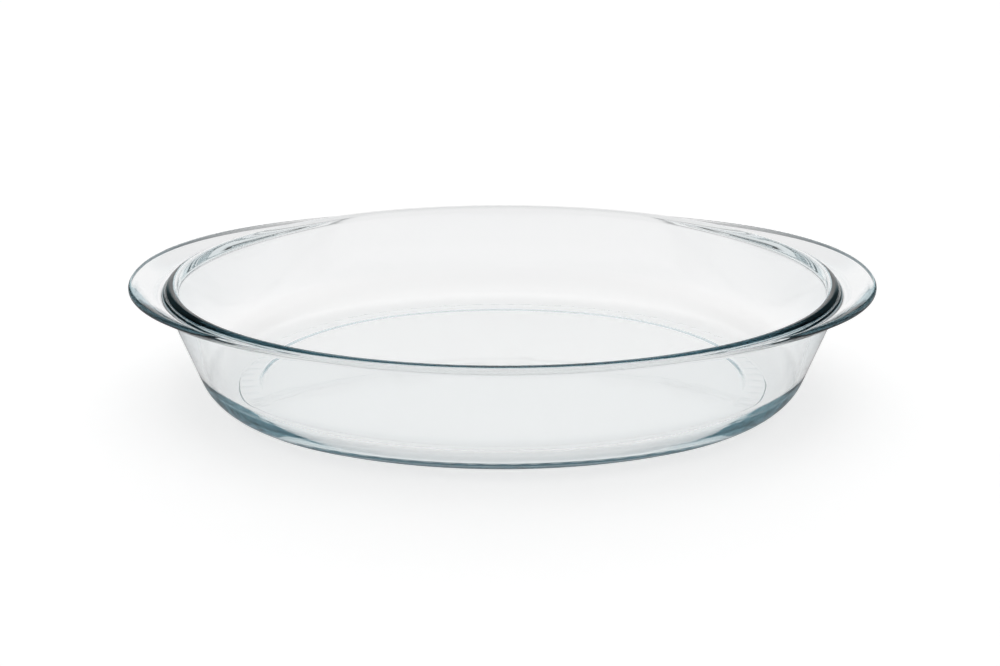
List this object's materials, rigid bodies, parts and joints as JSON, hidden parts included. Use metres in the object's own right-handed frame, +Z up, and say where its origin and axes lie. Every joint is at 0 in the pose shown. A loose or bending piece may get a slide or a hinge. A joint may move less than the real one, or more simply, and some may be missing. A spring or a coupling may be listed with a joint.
{
  "type": "oval baking dish",
  "caption": "Oval baking dish of clear pressed glass with sloping walls, a beaded rim, a scooped handle at each end and a flat ring foot.",
  "frame": {"origin": "centre of the oval foot ring, on the surface the dish stands on", "axes": "+X along the dish's length from handle to handle, +Y across its width, +Z up out of the basin"},
  "size_m": [0.35, 0.24, 0.0557],
  "materials": {
    "glass": "clear polished pressed glass with a faint teal tint in its edges"
  },
  "bodies": {
    "root": {"glass_dish": "glass"}
  },
  "joints": []
}
